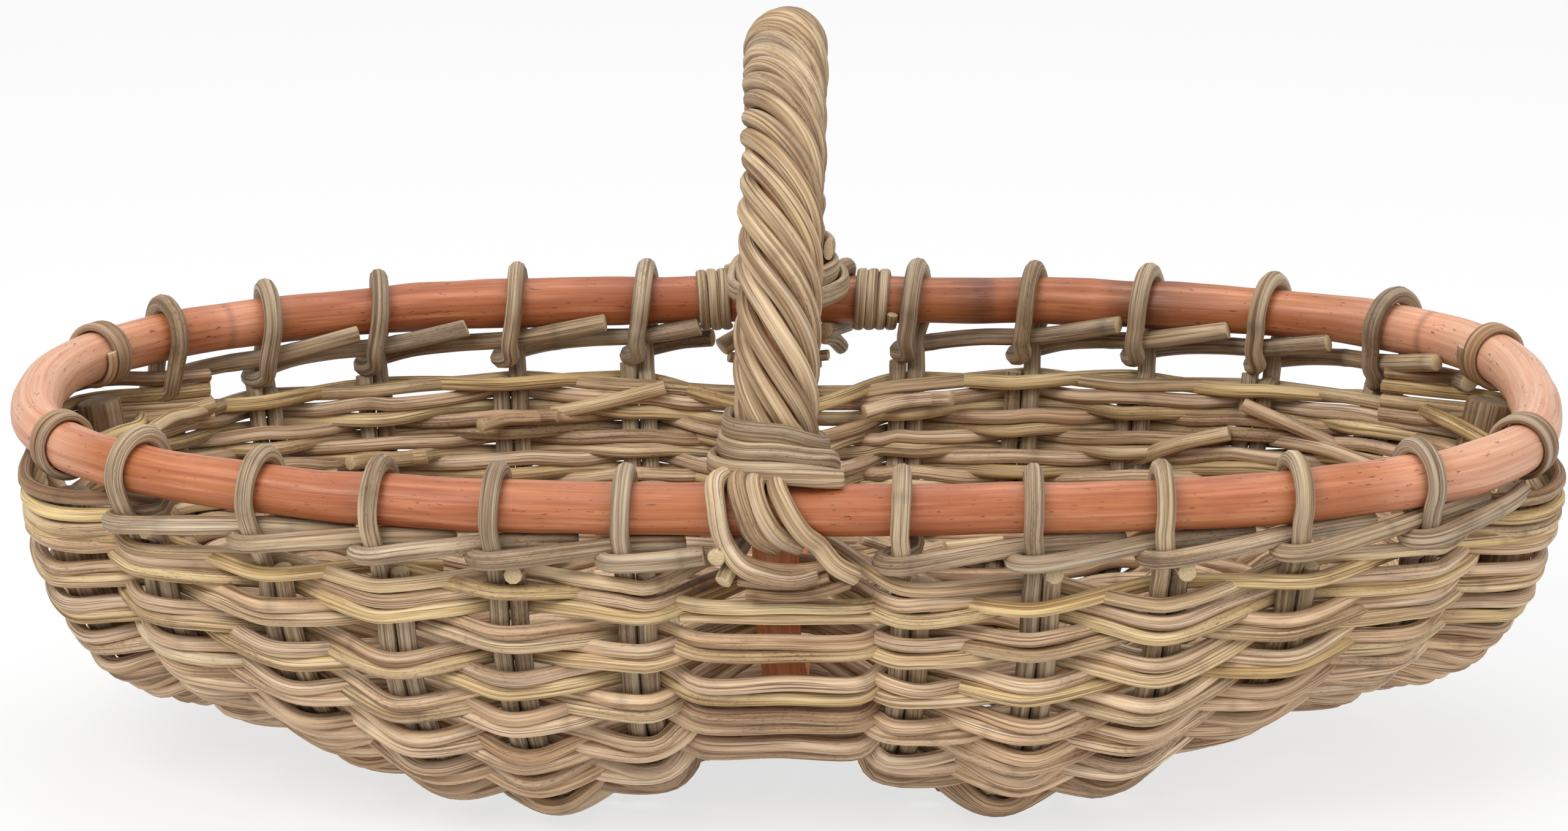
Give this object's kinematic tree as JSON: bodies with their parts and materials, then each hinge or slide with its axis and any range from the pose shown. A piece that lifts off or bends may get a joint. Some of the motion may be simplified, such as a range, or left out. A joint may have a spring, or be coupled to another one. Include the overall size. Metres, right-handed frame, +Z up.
{
  "type": "flower basket",
  "caption": "Shallow oval cane basket with a pole rim, a twisted arch handle over the middle, an openwork woven wall and a floor arched up under the handle",
  "frame": {"origin": "on the ground plane, under the middle of the basket", "axes": "X along the basket, to the right in the picture; Y across it, from the front wall to the back wall; Z up"},
  "size_m": [0.619, 0.3347, 0.304],
  "materials": {
    "pole_cane": "satin",
    "handle_cane": "satin",
    "stake_cane": "matte",
    "weaver_cane": "matte",
    "mat_cane": "matte",
    "binding_cane": "satin"
  },
  "bodies": {
    "root": {"rim_hoop": "pole_cane", "handle_hoop": "pole_cane", "runner_front": "pole_cane", "runner_back": "pole_cane", "stake_front_1": "stake_cane", "stake_front_2": "stake_cane", "stake_front_3": "stake_cane", "stake_front_4": "stake_cane", "stake_front_5": "stake_cane", "stake_front_6": "stake_cane", "stake_front_7": "stake_cane", "stake_front_8": "stake_cane", "stake_front_9": "stake_cane", "stake_front_10": "stake_cane", "stake_back_1": "stake_cane", "stake_back_2": "stake_cane", "stake_back_3": "stake_cane", "stake_back_4": "stake_cane", "stake_back_5": "stake_cane", "stake_back_6": "stake_cane", "stake_back_7": "stake_cane", "stake_back_8": "stake_cane", "stake_back_9": "stake_cane", "stake_back_10": "stake_cane", "weaver_row_01": "weaver_cane", "weaver_row_02": "weaver_cane", "weaver_row_03": "weaver_cane", "weaver_row_04": "weaver_cane", "weaver_row_05": "weaver_cane", "weaver_row_06": "weaver_cane", "weaver_row_07": "weaver_cane", "weaver_row_08": "weaver_cane", "weaver_row_09": "weaver_cane", "weaver_row_10": "weaver_cane", "weaver_row_11": "weaver_cane", "weaver_row_12": "weaver_cane", "weaver_row_13": "weaver_cane", "base_mat": "mat_cane", "handle_strand_1": "handle_cane", "handle_strand_2": "handle_cane", "handle_strand_3": "handle_cane", "handle_strand_4": "handle_cane", "handle_strand_5": "handle_cane", "handle_strand_6": "handle_cane", "handle_strand_7": "handle_cane", "handle_strand_8": "handle_cane", "foot_binding_front": "binding_cane", "foot_binding_back": "binding_cane", "rim_wrap_left": "binding_cane", "rim_wrap_right": "binding_cane", "corner_wrap_1": "binding_cane", "corner_wrap_2": "binding_cane", "corner_wrap_3": "binding_cane", "corner_wrap_4": "binding_cane"}
  },
  "joints": []
}
